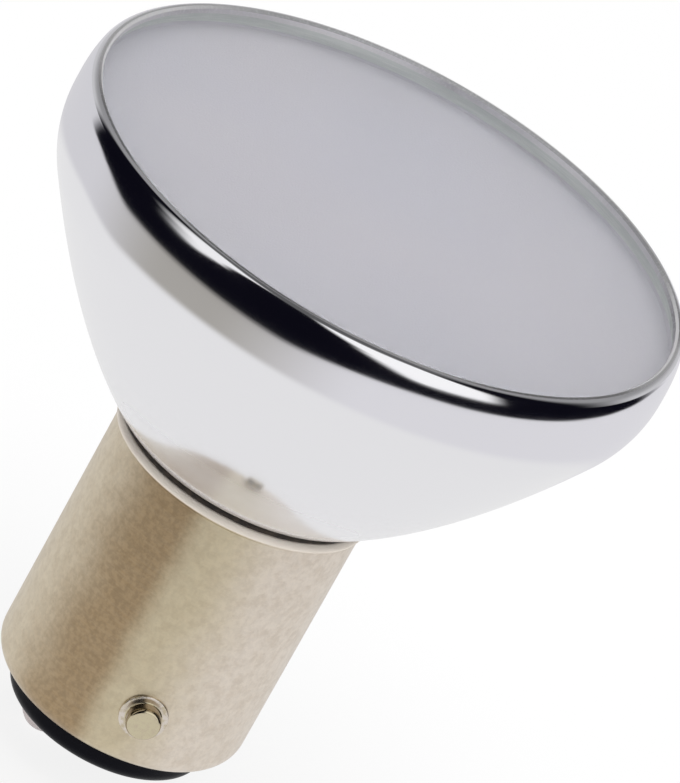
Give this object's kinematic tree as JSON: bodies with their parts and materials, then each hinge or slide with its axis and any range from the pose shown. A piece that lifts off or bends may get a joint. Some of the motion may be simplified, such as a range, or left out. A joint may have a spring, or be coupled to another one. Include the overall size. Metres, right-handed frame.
{
  "type": "reflector bulb",
  "caption": "Low-voltage halogen reflector bulb: polished aluminium bowl with a frosted front glass on a double-contact bayonet cap.",
  "frame": {"origin": "on the lamp's axis, level with the tips of the two solder contacts", "axes": "+Z along the lamp's axis from the contacts to the front glass; the bayonet pins point along +Y and -Y; the contacts lie on +X and -X"},
  "size_m": [0.0364, 0.0364, 0.0391],
  "materials": {
    "polished_aluminium": "polished",
    "frosted_glass": "clear on the outer face, frosted on the inner face",
    "nickel_plate": "satin nickel plate on brass, slightly tarnished",
    "pin_metal": "polished nickel plate on brass",
    "black_glass": "gloss black",
    "eyelet_brass": "bright",
    "solder": "dull solder",
    "lead_metal": "drawn wire",
    "quartz": "clear",
    "cement": "matt mineral cement"
  },
  "bodies": {
    "root": {"reflector": "polished_aluminium", "front_glass": "frosted_glass", "cap_shell": "nickel_plate", "bayonet_pin_front": "pin_metal", "bayonet_pin_back": "pin_metal", "insulator": "black_glass", "contact_eyelet_left": "eyelet_brass", "contact_eyelet_right": "eyelet_brass", "solder_contact_left": "solder", "solder_contact_right": "solder", "lead_wire_left": "lead_metal", "lead_wire_right": "lead_metal", "halogen_capsule": "quartz", "neck_cement": "cement"}
  },
  "joints": []
}
